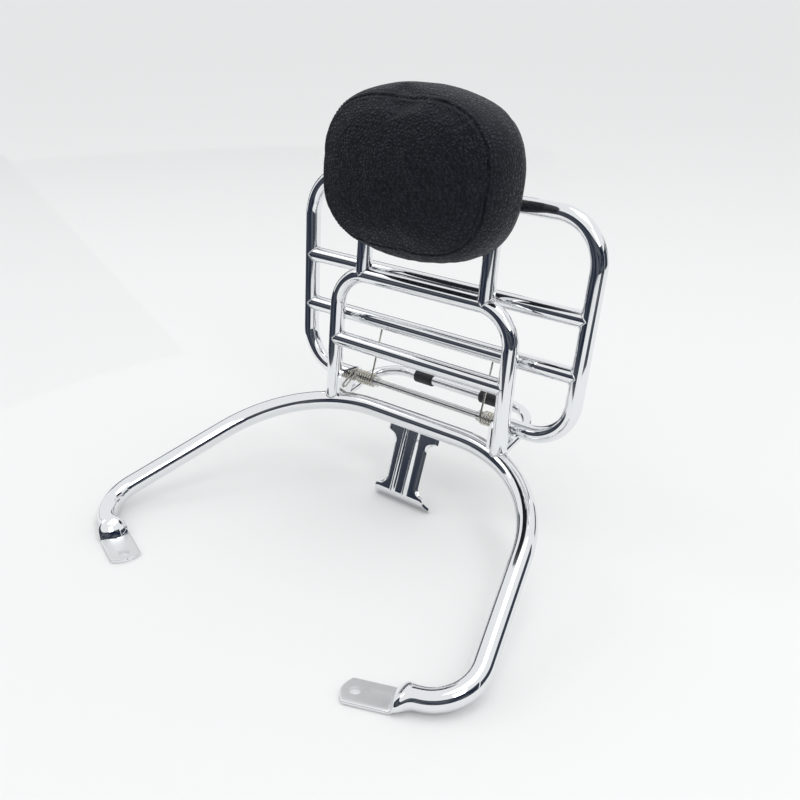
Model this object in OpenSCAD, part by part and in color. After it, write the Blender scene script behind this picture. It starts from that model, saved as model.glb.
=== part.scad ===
// Scooter backrest with a sprung folding luggage carrier.
// X runs across, +Y to the rear, +Z up. The origin is on the floor,
// under the middle of the model's box. All sizes are in millimetres.

/* [Main hoop] */
// Outer diameter of the main hoop's tube
main_d = 22; // [18:0.5:28]
// Wall of the main hoop's tube
main_wall = 2.5; // [1.5:0.25:3]
// Height of the rear span's axis above the floor
rear_height = 96; // [80:1:130]
// Half width at the virtual rear corners
rear_half_width = 178; // [165:1:200]
// Half width at the virtual front corners
front_half_width = 257; // [235:1:290]
// Distance from the rear span forward to the front corners
arm_reach = 259; // [220:1:320]
// Bend radius at the rear corners
rear_bend_r = 155; // [120:1:165]
// Bend radius at the front corners
front_bend_r = 45; // [35:1:55]

/* [Mounting tabs] */
// Angle of the tabs, turned forward from straight across
tab_angle = 21; // [10:1:35]
// Straight tube between the front bend and the press
tab_lead = 3; // [1:0.5:20]
// Length of the flattened part
tab_flat = 50; // [44:1:58]
// Width of the flattened part
tab_width = 32; // [27:1:38]
// Thickness of the flattened part
tab_t = 4.5; // [3.5:0.1:6]
// Bore for the frame bolt
tab_hole_d = 11; // [8.5:0.1:13]
// Distance from the tip to the centre of the bore
tab_hole_inset = 12.5; // [10:0.5:18]
// Radius of the tab's rounded tip
tab_tip_r = 26; // [20:1:60]
// Depth of the pressed groove beside the bore
tab_groove_depth = 0.8; // [0.4:0.1:1.5]

/* [Backrest hoop] */
// Outer diameter of the tube of the backrest hoop
hoop_d = 18; // [15:0.5:22]
// Wall of the backrest's and the carrier's tubes
tube_wall = 1.25; // [1:0.25:2]
// Half distance between the axes of the uprights
upright_x = 118.5; // [105:0.5:125]
// Angle by which the backrest leans to the rear
lean = 6.5; // [3:0.5:9]
// Height of the top bar's axis above the foot of the uprights
hoop_height = 162; // [145:1:180]
// Bend radius at the hoop's top corners
hoop_bend_r = 42; // [30:1:50]
// Height of the crossbar's axis above the foot of the uprights
crossbar_height = 80; // [70:1:110]

/* [Pad posts] */
// Outer diameter of a post
post_d = 18; // [14:0.5:20]
// Half distance between the axes of the posts
post_x = 83; // [60:1:88]
// Length of a post from the top bar's axis
post_length = 150; // [130:1:165]

/* [Carrier] */
// Outer diameter of the carrier's tube
carrier_d = 18; // [15:0.5:19]
// Distance from the backrest's plane back to the carrier's plane
carrier_offset = 27.5; // [27:0.5:31]
// Half width between the axes at the pivot end
carrier_low_x = 183; // [170:1:200]
// Half width between the axes at the free end
carrier_top_x = 191; // [175:1:205]
// Height of the pivot above the foot of the uprights
pivot_height = 29.5; // [28:0.5:34]
// Distance from the pivot to the axis of the lower cross tube
carrier_lower_bar = 75; // [74:0.5:82]
// Distance from the pivot to the axis of the upper cross tube
carrier_upper_bar = 135; // [120:1:150]
// Distance from the pivot to the axis of the free end
carrier_length = 235; // [215:1:260]
// Bend radius at the pivot end
carrier_low_r = 47; // [35:1:52]
// Bend radius at the free end
carrier_top_r = 50; // [35:1:60]

/* [Pivot] */
// Diameter of the pivot rod
rod_d = 8; // [7:0.5:8]
// Thickness of an ear plate
ear_t = 4; // [3:0.5:5]
// Radius of the ear's round end
ear_r = 10; // [9:0.5:12]
// Play between the rod and the ears and collars on it, on the radius
rod_play = 0.1; // [0.05:0.01:0.2]
// Running clearance between the hinge bush and the rod, on the radius
bush_play = 0.05; // [0.03:0.01:0.08]
// Length of a hinge bush
bush_length = 14; // [10:1:20]
// Gap between an ear and the end of the carrier's tube
pivot_gap = 0.8; // [0.5:0.1:1.5]
// Diameter of a spring collar
collar_d = 12; // [11:0.5:14]
// Length of a spring collar
collar_length = 5; // [4:0.5:8]

/* [Springs] */
// Diameter of the spring wire
wire_d = 3; // [2:0.1:3.2]
// Outer diameter of the coil
coil_d = 15; // [14.6:0.1:17]
// Length of the coil along the rod
coil_length = 28; // [24:0.5:34]
// Whole turns, besides the part turn between the legs
coil_turns = 6; // [4:1:7]
// Play between a spring's end and its neighbours along the rod
coil_gap = 0.3; // [0.2:0.1:0.5]
// Distance of the short leg's anchor behind the upright's axis
anchor_y = 2.5; // [0:0.5:6]
// Distance of the short leg's anchor below the pivot
anchor_drop = 8.5; // [6:0.5:11]

/* [Support loop and buffers] */
// Diameter of the support loop's bar
loop_d = 12; // [10:0.5:14]
// Half width of the support loop between axes
loop_x = 115; // [105:1:120]
// Distance from the main hoop's rear span back to the loop's rear axis
loop_reach = 82; // [78:1:90]
// Height of the loop's rear axis above the floor
loop_height = 110; // [104:1:114]
// Bend radius of the support loop
loop_bend_r = 40; // [25:1:44]
// Outer diameter of a rubber buffer
buffer_d = 16; // [15:0.5:17]
// Length of a rubber buffer
buffer_length = 26; // [20:1:34]
// Distance of a buffer's middle from the centre line
buffer_x = 48; // [40:1:60]
// Clearance between a buffer and the bar inside it, on the radius
buffer_play = 0.05; // [0.02:0.01:0.1]

/* [Tail bracket] */
// Thickness of the pressed sheet
bracket_t = 3; // [2:0.5:4]
// Half width at the waist
bracket_waist = 23.5; // [20:0.5:28]
// Half width where the bracket meets the main hoop
bracket_top = 36; // [30:0.5:42]
// Half width at the bend above the foot
bracket_low = 34.5; // [30:0.5:40]
// Half width of the foot
bracket_foot = 42; // [36:0.5:46]
// Distance from the rear span forward to the bend above the foot
bracket_bend_y = 33; // [28:0.5:38]
// Height of the bend above the foot
bracket_bend_z = 13; // [10:0.5:16]
// Distance by which the foot runs back from the bend
foot_run = 9; // [6:0.5:14]
// Height of the two pressed ribs
rib_height = 5; // [3:0.5:6]
// Half distance between the two pressed ribs
rib_x = 8.5; // [7:0.5:10]

/* [Pad] */
// Height of the pad's middle above the foot of the uprights
pad_height = 290; // [284:1:300]
// Half width of the pad at its widest
pad_half_w = 117; // [105:1:130]
// Half height of the pad at its tallest
pad_half_h = 87; // [78:1:95]
// Inset of the front face's seam from the widest outline
seam_inset = 11.5; // [8:0.5:15]
// Distance from the backrest's plane forward to the seam
seam_depth = 48; // [40:1:60]
// Height of the front face's dome
crown = 11; // [4:0.5:16]
// Thickness of the cover
cover_t = 2; // [1.2:0.1:3]
// Width of the hem that the cover turns over the board
hem = 8; // [5:1:12]
// Gap between the pad's back and the free end of the carrier at rest
rest_gap = 0.3; // [0.2:0.1:1]
// Clearance between pieces inside the pad
pad_play = 0.3; // [0.2:0.1:0.5]
// Squareness of the pad's outline
pad_square = 2.7; // [2.2:0.1:4]

/* [Pad screws] */
// Diameter of a pad screw
screw_d = 6; // [5:0.5:8]
// Diameter of a screw's countersunk head
screw_head_d = 12; // [10:0.5:14]
// Depth to which a screw reaches into a post
screw_grip = 12; // [8:1:14]
// Play round a screw, on the radius
screw_play = 0.1; // [0.05:0.05:0.3]
// Distance of the screws above and below the middle between them
screw_half_pitch = 17; // [12:1:20]
// Distance of the middle between the screws below the pad's middle
screw_drop = 3; // [0:1:8]

/* [Hidden] */
$fn = 48;
// Growth of a tube's diameter in its bends, and the straight part's reach into a bend
bend_growth = 0.1;
bend_seat = 0.2;
// Distance by which a joining tube stops short of the axis that it runs to
saddle_short = 0.5;
// Distance by which a cut reaches past a face, and a size larger than the whole model
over = 1;
beyond = 600;

// Vector helpers
function unit(v) = v / norm(v);
function flip(p) = [-p[0], p[1], p[2]];

// Sets its children at the place o, with X turned onto u and Y onto v
module set_at(o, u, v) {
    w = cross(u, v);
    multmatrix([[u[0], v[0], w[0], o[0]], [u[1], v[1], w[1], o[1]], [u[2], v[2], w[2], o[2]]]) children();
}

// Any unit vector at right angles to v
function side_of(v) = abs(v[2]) < 0.9 ? unit(cross([0, 0, 1], v)) : unit(cross([1, 0, 0], v));

// Length that a bend of radius r takes off each leg at corner b
function bend_cut(a, b, c, r) = let(half = acos(unit(a - b) * unit(c - b)) / 2)
    r / tan(half);

// Round bar from a to b
module rod_between(a, b, d) {
    z = unit(b - a);
    x = side_of(z);
    set_at(a, x, cross(z, x)) cylinder(d = d, h = norm(b - a));
}

// Round bend at corner b between the legs to a and c
module bend_at(a, b, c, r, d) {
    to_a = unit(a - b);
    to_c = unit(c - b);
    inner = acos(to_a * to_c);
    start = b + to_a * bend_cut(a, b, c, r);
    middle = b + unit(to_a + to_c) * r / sin(inner / 2);
    set_at(middle, (start - middle) / r, -to_a)
        rotate_extrude(angle = 180 - inner, $fn = 96) translate([r, 0]) circle(d = d + bend_growth);
}

// Bar of diameter d along points p, bent with radii r at its inner points
module bent_bar(p, r, d) {
    last = len(p) - 1;
    cut = [for (i = [0 : last]) (i == 0 || i == last) ? 0
        : bend_cut(p[i - 1], p[i], p[i + 1], r[i - 1])];
    for (i = [0 : last - 1]) {
        along = unit(p[i + 1] - p[i]);
        from = i == 0 ? 0 : cut[i] - bend_seat;
        to = i == last - 1 ? 0 : cut[i + 1] - bend_seat;
        rod_between(p[i] + along * from, p[i + 1] - along * to, d);
    }
    for (i = [1 : 1 : last - 1])
        bend_at(p[i - 1], p[i], p[i + 1], r[i - 1], d);
}

// Tube along the same kind of path, open at both ends
module bent_tube(p, r, d, wall) {
    last = len(p) - 1;
    bore = [for (i = [0 : last]) i == 0 ? p[0] + unit(p[0] - p[1])
        : i == last ? p[last] + unit(p[last] - p[last - 1]) : p[i]];
    difference() {
        bent_bar(p, r, d);
        bent_bar(bore, r, d - 2 * wall);
    }
}

// Straight tube from a to b, open at both ends
module tube_between(a, b, d, wall) {
    difference() {
        rod_between(a, b, d);
        rod_between(a + unit(a - b), b + unit(b - a), d - 2 * wall);
    }
}

// Main hoop: its rear span lies on Y = 0 before the whole model is centred
main_r = main_d / 2;
tab_dir = [-cos(tab_angle), -sin(tab_angle), 0];
rear_corner = [rear_half_width, 0, rear_height];
front_corner = [front_half_width, -arm_reach, main_r];
tab_press = 18;
front_cut = bend_cut(rear_corner, front_corner, front_corner + tab_dir, front_bend_r);
tube_end = front_corner + tab_dir * (front_cut + tab_lead);
tab_root = tube_end + tab_dir * tab_press;
tab_tip = tab_root + tab_dir * tab_flat;
rear_cut = bend_cut([0, 0, rear_height], rear_corner, front_corner, rear_bend_r);
arm_slope = atan2(rear_height - main_r, arm_reach);

// Point of the rear bend's axis at the distance x from the centre line
function sag(x) = rear_bend_r - sqrt(pow(rear_bend_r, 2) - pow(max(0, x - rear_half_width + rear_cut), 2));
function hoop_axis_y(x) = -sag(x) * cos(arm_slope);
function hoop_axis_z(x) = rear_height - sag(x) * sin(arm_slope);

// Box of the whole model along Y, from the tab's front corner to the buffers
box_front = tab_tip[1] - tab_width / 2 * cos(tab_angle) + tab_tip_sag() * sin(tab_angle);
function tab_tip_sag() = tab_tip_r - sqrt(pow(tab_tip_r, 2) - pow(tab_width / 2, 2));
box_rear = loop_reach + max(buffer_d, loop_d) / 2;
centre_y = (box_front + box_rear) / 2;

// Backrest frame: its own origin is the foot of the uprights, Z runs up them
foot_y = hoop_axis_y(upright_x);
foot_z = hoop_axis_z(upright_x);
module backrest_place() {
    translate([0, foot_y, foot_z]) rotate([-lean, 0, 0]) children();
}
hoop_r = hoop_d / 2;
ear_out_x = upright_x - hoop_r;
ear_in_x = ear_out_x - ear_t;
spring_out_x = ear_in_x - coil_gap;
spring_in_x = spring_out_x - coil_length;
collar_out_x = spring_in_x - coil_gap;
carrier_end_x = ear_out_x + pivot_gap;
rod_end_x = carrier_end_x + bush_length - over;
pivot = [carrier_offset, pivot_height];

// Spring: angles are measured in the plane across the rod, from +Y to +Z
coil_r = (coil_d - wire_d) / 2;
anchor = [anchor_y, pivot_height - anchor_drop];
leg_pass = carrier_d / 2 + wire_d / 2 + coil_gap;
anchor_angle = short_leg_angle();
long_leg_angle = 180 - long_leg_lean();
coil_sweep = anchor_angle - long_leg_angle + 360 + 360 * coil_turns;
// The short leg leaves the coil at this angle and runs down to its anchor
function short_leg_angle() = let(v = anchor - pivot)
    atan2(v[1], v[0]) + 360 - acos(coil_r / norm(v));
// The long leg passes just behind the lower cross tube
function long_leg_lean() = let(far = sqrt(pow(carrier_lower_bar, 2) + pow(leg_pass, 2)))
    asin(coil_r / far) + atan2(leg_pass, carrier_lower_bar);
// Reach of the long leg past the cross tube that it presses on
leg_over = 3;
long_leg = sqrt(pow(carrier_lower_bar, 2) + pow(leg_pass, 2) - pow(coil_r, 2)) + leg_over;
wire_sides = 8;
turn_steps = 20;

// One mirrored pair member: side is -1 for the left and 1 for the right
module on_side(side) {
    if (side < 0) mirror([1, 0, 0]) children();
    else children();
}

// Main hoop and its two tabs
// The tab's own frame: its origin is under the root, X runs to the tip
module tab_place() {
    translate([tab_root[0], tab_root[1], 0]) rotate([0, 0, 180 + tab_angle]) children();
}

module tab_outline() {
    intersection() {
        translate([0, -tab_width / 2]) square([tab_flat, tab_width]);
        translate([tab_flat - tab_tip_r, 0]) circle(r = tab_tip_r, $fn = 96);
    }
    translate([0, -tab_width / 2]) square([tab_flat - tab_tip_r, tab_width]);
}

// Pressed stretch between the round tube and the flat tab
press_sides = 32;
press_steps = 6;
press_seat = 0.5;
// Squareness of the press's flat end, and its inset from the tab's faces
press_flatness = 0.82;
press_inset = 0.1;
function ease(t) = t * t * (3 - 2 * t);
// Section at the share t of the way: round at 0, flat with round edges at 1
function press_ring(t) = let(s = ease(t), e = 1 - press_flatness * s,
    w = main_r + (tab_width / 2 - press_inset - main_r) * s,
    h = main_r + (tab_t / 2 - press_inset - main_r) * s, base = press_inset * s)
    [for (k = [0 : press_sides - 1]) let(c = cos(360 * k / press_sides), d = sin(360 * k / press_sides))
        [(tab_press + press_seat) * t - tab_press, w * sign(c) * pow(abs(c), e),
            base + h + h * sign(d) * pow(abs(d), e)]];

module press() {
    n = press_sides;
    points = [for (i = [0 : press_steps]) for (p = press_ring(i / press_steps)) p];
    faces = concat([[for (k = [0 : n - 1]) k]],
        [for (i = [0 : press_steps - 1]) for (k = [0 : n - 1]) let(j = (k + 1) % n)
            [i * n + k, (i + 1) * n + k, (i + 1) * n + j, i * n + j]],
        [[for (k = [n - 1 : -1 : 0]) press_steps * n + k]]);
    polyhedron(points, faces, convexity = 4);
}

module tab(side) color("silver") on_side(side) tab_place() difference() {
    union() {
        linear_extrude(tab_t) tab_outline();
        press();
    }
    translate([tab_flat - tab_hole_inset, 0, -over]) cylinder(d = tab_hole_d, h = tab_t + 2 * over);
    translate([groove_start, 0, tab_t - tab_groove_depth]) groove();
}

// Groove pressed into the tab between its bore and its root
groove_start = 7;
groove_w = 11;
groove_l = 10;
module groove() {
    linear_extrude(tab_groove_depth + over) {
        translate([0, -groove_w / 2]) square([groove_l, groove_w]);
        circle(d = groove_w);
        translate([groove_l, 0]) circle(d = groove_w);
    }
}

// Only the rear span, for what is cut to fit it
module rear_span() {
    rod_between([-rear_half_width, 0, rear_height], [rear_half_width, 0, rear_height], main_d);
}

// Only the two rear bends, for what is cut to fit them
module rear_bends() {
    for (side = [-1, 1]) on_side(side)
        bend_at([0, 0, rear_height], rear_corner, front_corner, rear_bend_r, main_d);
}

module main_hoop() color("silver")
    bent_tube([tube_end, front_corner, rear_corner, flip(rear_corner), flip(front_corner), flip(tube_end)],
        [front_bend_r, rear_bend_r, rear_bend_r, front_bend_r], main_d, main_wall);

// Tail bracket: a pressed plate that runs down and forward, then turns back
bracket_start = [0, -main_r * 0.35, rear_height - main_r * 0.8];
web_run = bracket_bend_y + bracket_start[1];
web_drop = bracket_start[2] - bracket_bend_z;
web_angle = atan2(web_run, web_drop);
web_length = norm([web_run, web_drop]);
lip_length = norm([foot_run, bracket_bend_z]);
lip_angle = atan2(foot_run, bracket_bend_z);
// Height over which the web's ends keep their full width, and its reach into the span
flare = 11;
web_seat = 8;
// Half width of a pressed rib
rib_half_w = 4.5;
// Distance by which the web and the foot reach past the bend between them
bend_over = 0.7;
// Distances of the waist from the web's lower and upper ends
waist_low = 7;
waist_high = 9;
// Radius of the foot's corners
foot_corner_r = 5;

function rib(x) = let(t = abs(abs(x) - rib_x) / rib_half_w) t < 1 ? rib_height * pow(cos(90 * t), 2) : 0;

// Section across the web, with its two ribs towards the front
module web_section() {
    steps = [-bracket_foot : 1 : bracket_foot];
    front = [for (x = steps) [x, rib(x)]];
    back = [for (i = [len(front) - 1 : -1 : 0]) [front[i][0], front[i][1] - bracket_t]];
    polygon(concat(front, back));
}

// Outline of the web seen from the front, its foot at the origin
module web_outline() {
    difference() {
        polygon([[-bracket_low, -bend_over], [bracket_low, -bend_over], [bracket_low, flare],
            [bracket_top, web_length - flare], [bracket_top, web_length + web_seat],
            [-bracket_top, web_length + web_seat], [-bracket_top, web_length - flare],
            [-bracket_low, flare]]);
        for (side = [-1, 1]) scale([side, 1]) waist_cut();
    }
}

// Cut that leaves the waist, with round ends
module waist_cut() {
    low = bracket_low - bracket_waist;
    top = bracket_top - bracket_waist;
    y0 = waist_low;
    y1 = web_length - waist_high;
    translate([bracket_waist, y0 + low]) square([beyond, y1 - top - y0 - low]);
    translate([bracket_waist + low, y0 + low]) circle(r = low);
    translate([bracket_waist + low, y0]) square([beyond, low * 2]);
    translate([bracket_waist + top, y1 - top]) circle(r = top);
    translate([bracket_waist + top, y1 - 2 * top]) square([beyond, top * 2]);
}

// Foot: turned back from the web, wider towards the floor
module lip_outline() {
    hull() {
        translate([-bracket_low, lip_length]) square([2 * bracket_low, bend_over]);
        for (side = [-1, 1])
            translate([side * (bracket_foot - foot_corner_r), foot_corner_r])
                circle(r = foot_corner_r, $fn = 24);
    }
}

module tail_bracket() color("silver") difference() {
    union() {
        translate([0, -bracket_bend_y, bracket_bend_z]) rotate([-web_angle, 0, 0]) intersection() {
            translate([0, 0, -over])
                linear_extrude(web_length + web_seat + 2 * over) mirror([0, 1]) web_section();
            translate([0, beyond / 2, 0]) rotate([90, 0, 0]) linear_extrude(beyond) web_outline();
        }
        translate([0, foot_run - bracket_bend_y, 0]) rotate([lip_angle, 0, 0])
            rotate([90, 0, 0]) translate([0, 0, -bracket_t]) linear_extrude(bracket_t) lip_outline();
    }
    rear_span();
    translate([-beyond / 2, -beyond / 2, -beyond]) cube(beyond);
}

// Backrest hoop, its crossbar and the two posts for the pad

// Only the straight uprights and the top bar, for what is cut to fit them
module uprights() {
    backrest_place() for (x = [-upright_x, upright_x])
        rod_between([x, 0, 0], [x, 0, hoop_height - hoop_bend_r], hoop_d);
}

module top_bar() {
    backrest_place() rod_between([-upright_x, 0, hoop_height], [upright_x, 0, hoop_height], hoop_d);
}

module backrest_hoop() color("silver") difference() {
    backrest_place() bent_tube([[-upright_x, 0, 0], [-upright_x, 0, hoop_height],
        [upright_x, 0, hoop_height], [upright_x, 0, 0]], [hoop_bend_r, hoop_bend_r], hoop_d, tube_wall);
    rear_bends();
}

module backrest_crossbar() color("silver") difference() {
    reach = upright_x - saddle_short;
    backrest_place() tube_between([-reach, 0, crossbar_height], [reach, 0, crossbar_height], hoop_d, tube_wall);
    uprights();
}

// Depth of a screw's hole past the screw's end
screw_end_gap = 0.5;
screw_z = pad_height - screw_drop;
module screw_places() {
    for (dz = [-screw_half_pitch, screw_half_pitch])
        translate([post_x, board_back_y, screw_z + dz]) rotate([90, 0, 0]) children();
}

module pad_post(side) color("silver") difference() {
    backrest_place() on_side(side) difference() {
        tube_between([post_x, 0, hoop_height + saddle_short], [post_x, 0, hoop_height + post_length], post_d,
            tube_wall);
        screw_places() cylinder(d = screw_d + 2 * screw_play, h = screw_length + screw_end_gap);
    }
    top_bar();
}

// Support loop and its two rubber buffers
loop_root = [loop_x, hoop_axis_y(loop_x), hoop_axis_z(loop_x)];
loop_corner = [loop_x, loop_reach, loop_height];
module support_loop() color("silver") difference() {
    bent_tube([flip(loop_root), flip(loop_corner), loop_corner, loop_root], [loop_bend_r, loop_bend_r], loop_d,
        tube_wall);
    rear_bends();
}

buffer_round_r = 1;
module buffer(side) color("dimgray")
    translate([side * buffer_x - buffer_length / 2, loop_reach, loop_height]) rotate([0, 90, 0])
        rotate_extrude() {
            inner = loop_d / 2 + buffer_play;
            outer = buffer_d / 2;
            flat = outer - buffer_round_r;
            end = buffer_length - buffer_round_r;
            polygon([[inner, 0], [flat, 0], [outer, buffer_round_r], [outer, end], [flat, buffer_length],
                [inner, buffer_length]]);
        }

// Ears, rod and collars of the pivot: an ear stands on the main hoop beside an upright
ear_chamfer = 6;
ear_foot_w = 15;
ear_neck = 24;
module ear_outline() {
    front = -carrier_offset - hoop_r / 2;
    foot = -pivot_height;
    circle(r = ear_r);
    polygon([[0, ear_r], [front + ear_chamfer, ear_r], [front, ear_r - ear_chamfer], [front, foot],
        [front + ear_foot_w, foot], [front + ear_neck, -ear_r], [0, -ear_r]]);
}

module pivot_ear(side) color("silver") difference() {
    backrest_place() on_side(side) translate([ear_in_x, pivot[0], pivot[1]]) rotate([90, 0, 90]) difference() {
        linear_extrude(ear_t) ear_outline();
        translate([0, 0, -over]) cylinder(d = rod_d + 2 * rod_play, h = ear_t + 2 * over);
        translate([anchor[0] - pivot[0], anchor[1] - pivot[1], -over])
            cylinder(d = wire_d + 2 * coil_gap, h = ear_t + 2 * over);
    }
    rear_bends();
}

module pivot_rod() color("gray") backrest_place()
    translate([-rod_end_x, pivot[0], pivot[1]]) rotate([0, 90, 0]) cylinder(d = rod_d, h = 2 * rod_end_x);

module collar(side) color("gray") backrest_place() on_side(side)
    translate([collar_out_x - collar_length, pivot[0], pivot[1]]) rotate([0, 90, 0]) difference() {
        cylinder(d = collar_d, h = collar_length);
        translate([0, 0, -over]) cylinder(d = rod_d + 2 * rod_play, h = collar_length + 2 * over);
    }

// Torsion spring: hook, short leg, coil and long leg swept as one wire
function around(a) = [0, cos(a), sin(a)];
coil_in = spring_in_x + wire_d / 2;
coil_out = spring_out_x - wire_d / 2;
coil_steps = ceil(coil_sweep / 360 * turn_steps);
// The hook ends inside the ear's plate, at this share of its thickness
hook_share = 0.8;
hook_x = ear_in_x + ear_t * hook_share;
short_dir = [0, -sin(anchor_angle), cos(anchor_angle)];
short_start = [coil_out, 0, 0] + coil_r * around(anchor_angle);
long_dir = [0, sin(long_leg_angle), -cos(long_leg_angle)];
long_start = [coil_in, 0, 0] + coil_r * around(long_leg_angle);

// Each entry of the path is [place, direction, outward]
hook_r = wire_d;
leg_len = short_leg_length();
function short_leg_length() = sqrt(pow(norm(anchor - pivot), 2) - pow(coil_r, 2));
function hook_path() = let(corner = short_start + short_dir * leg_len) concat(
    [[[hook_x, corner[1], corner[2]], [-1, 0, 0], around(anchor_angle)]],
    [for (a = [90 : -30 : 0])
        [corner - short_dir * hook_r + [hook_r, 0, 0] + hook_r * (short_dir * sin(a) - [cos(a), 0, 0]),
            -short_dir * cos(a) - [sin(a), 0, 0], around(anchor_angle)]]);
function coil_path() = [for (i = [0 : coil_steps]) let(t = i / coil_steps, a = anchor_angle - coil_sweep * t)
    [[coil_out + (coil_in - coil_out) * t, 0, 0] + coil_r * around(a), [0, sin(a), -cos(a)], around(a)]];
function spring_path() = concat(hook_path(), coil_path(),
    [[long_start + long_dir * long_leg, long_dir, around(long_leg_angle)]]);

// Wire swept along a path, closed at both ends
module sweep_wire(path, d, sides) {
    rings = [for (s = path) let(n = s[2], b = cross(s[1], n)) for (k = [0 : sides - 1])
        s[0] + d / 2 * (n * cos(360 * k / sides) + b * sin(360 * k / sides))];
    last = len(path) - 1;
    faces = concat([[for (k = [0 : sides - 1]) k]],
        [for (i = [0 : last - 1]) for (k = [0 : sides - 1]) let(j = (k + 1) % sides)
            [i * sides + k, (i + 1) * sides + k, (i + 1) * sides + j, i * sides + j]],
        [[for (k = [sides - 1 : -1 : 0]) last * sides + k]]);
    polyhedron(rings, faces, convexity = 8);
}

module spring(side) color("darkgray") backrest_place() on_side(side)
    translate([0, pivot[0], pivot[1]]) sweep_wire(spring_path(), wire_d, wire_sides);

// Folding carrier: frame, two cross tubes and its two hinge bushes
carrier_low = [carrier_low_x, carrier_offset, pivot_height];
carrier_top = [carrier_top_x, carrier_offset, pivot_height + carrier_length];
carrier_end = [carrier_end_x, carrier_offset, pivot_height];
module carrier_frame() color("silver") backrest_place()
    bent_tube([flip(carrier_end), flip(carrier_low), flip(carrier_top), carrier_top, carrier_low, carrier_end],
        [carrier_low_r, carrier_top_r, carrier_top_r, carrier_low_r], carrier_d, tube_wall);

function carrier_x(h) = carrier_low_x + (carrier_top_x - carrier_low_x) * h / carrier_length;
module carrier_cross(h) color("silver") difference() {
    reach = carrier_x(h) - saddle_short;
    backrest_place() tube_between([-reach, carrier_offset, pivot_height + h],
        [reach, carrier_offset, pivot_height + h], carrier_d, tube_wall);
    backrest_place() for (side = [-1, 1]) on_side(side) rod_between(carrier_low, carrier_top, carrier_d);
}

bush_d = carrier_d - 2 * tube_wall;
module hinge_bush(side) color("gray") backrest_place() on_side(side)
    translate([carrier_end_x, pivot[0], pivot[1]]) rotate([0, 90, 0]) difference() {
        cylinder(d = bush_d, h = bush_length);
        translate([0, 0, -over]) cylinder(d = rod_d + 2 * bush_play, h = bush_length + 2 * over);
    }

// Pad: rings of a rounded outline, from the middle of the dome to the hem
board_front_y = post_d / 2 + pad_play;
pad_back_y = carrier_offset - carrier_d / 2 - rest_gap;
board_back_y = pad_back_y - cover_t;
board_t = board_back_y - board_front_y;
screw_length = board_t + pad_play + screw_grip;
ring_steps = 48;
function outline(w, h, a) = let(e = 2 / pad_square)
    [w * sign(cos(a)) * pow(abs(cos(a)), e), h * sign(sin(a)) * pow(abs(sin(a)), e)];
// Each entry is [place along Y, inset from the widest outline]
dome = [for (t = [0.25 : 0.25 : 1]) [-seam_depth - crown * (1 - t * t), t]];
band = [[-seam_depth, seam_inset], [-seam_depth * 0.8, seam_inset * 0.45], [-seam_depth * 0.45, 0.5],
    [-seam_depth * 0.1, 0.5], [board_front_y, 4], [board_back_y, 9], [pad_back_y, 14]];
board_inset = 16;
// Gap between the foam and the cover, and between the foam and the board
foam_play = 0.05;

// Points of one ring at y, inset by g
function ring(y, g) = [for (k = [0 : ring_steps - 1])
    let(o = outline(pad_half_w - g, pad_half_h - g, 360 * k / ring_steps)) [o[0], y, pad_height + o[1]]];
function dome_ring(y, t, g) = [for (k = [0 : ring_steps - 1])
    let(o = outline((pad_half_w - g) * t, (pad_half_h - g) * t, 360 * k / ring_steps))
        [o[0], y, pad_height + o[1]]];

// Closed solid through rings of equal length, with a point before and after
module ring_solid(first, rings, last) {
    n = ring_steps;
    m = len(rings) - 1;
    points = concat([first], [for (r = rings) for (p = r) p], [last]);
    end = len(points) - 1;
    faces = concat(
        [for (k = [0 : n - 1]) [0, 1 + (k + 1) % n, 1 + k]],
        [for (i = [0 : m - 1]) for (k = [0 : n - 1]) let(j = (k + 1) % n)
            [1 + i * n + k, 1 + i * n + j, 1 + (i + 1) * n + j, 1 + (i + 1) * n + k]],
        [for (k = [0 : n - 1]) [end, 1 + m * n + k, 1 + m * n + (k + 1) % n]]);
    polyhedron(points, faces, convexity = 6);
}

// The pad's outer form, made smaller by g all round
module pad_form(g) {
    seam = seam_inset + g;
    rings = concat([for (s = dome) dome_ring(s[0] + g, s[1], seam)],
        [for (s = band) if (s[0] > -seam_depth + 1) ring(min(s[0], pad_back_y - g), s[1] + g)]);
    ring_solid([0, -seam_depth - crown + g, pad_height], rings, [0, pad_back_y - g, pad_height]);
}

module post_holes(play) {
    for (side = [-1, 1]) on_side(side)
        translate([post_x, 0, hoop_height]) cylinder(d = post_d + 2 * play, h = post_length + play);
}

module board_form(g, y0, y1) {
    inset = board_inset + g;
    ring_solid([0, y0, pad_height], [ring(y0, inset), ring(y1, inset)], [0, y1, pad_height]);
}

module pad_cover() color("black") backrest_place() difference() {
    pad_form(0);
    pad_form(cover_t);
    board_form(hem, board_back_y - over, pad_back_y + over);
    for (side = [-1, 1]) on_side(side)
        translate([post_x, 0, hoop_height]) cylinder(d = post_d + 2 * pad_play, h = pad_height - hoop_height);
}

module pad_foam() color("khaki") backrest_place() difference() {
    intersection() {
        pad_form(cover_t + foam_play);
        translate([-beyond / 2, board_front_y - foam_play - beyond, 0]) cube(beyond);
    }
    post_holes(pad_play);
    for (side = [-1, 1]) on_side(side) screw_places() screw_form(pad_play);
}

module pad_board() color("dimgray") backrest_place() difference() {
    board_form(0, board_front_y, board_back_y);
    for (side = [-1, 1]) on_side(side) screw_places() screw_form(screw_play);
}

// Countersunk screw, its head's face at the origin and a hair proud of the board
head_over = 0.01;
module screw_form(play) {
    head_h = (screw_head_d - screw_d) / 2;
    translate([0, 0, -head_over])
        cylinder(d1 = screw_head_d + 2 * play, d2 = screw_d + 2 * play, h = head_h + head_over);
    cylinder(d = screw_d + 2 * play, h = screw_length);
}

module pad_screws() color("gray") backrest_place()
    for (side = [-1, 1]) on_side(side) screw_places() screw_form(0);

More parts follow.
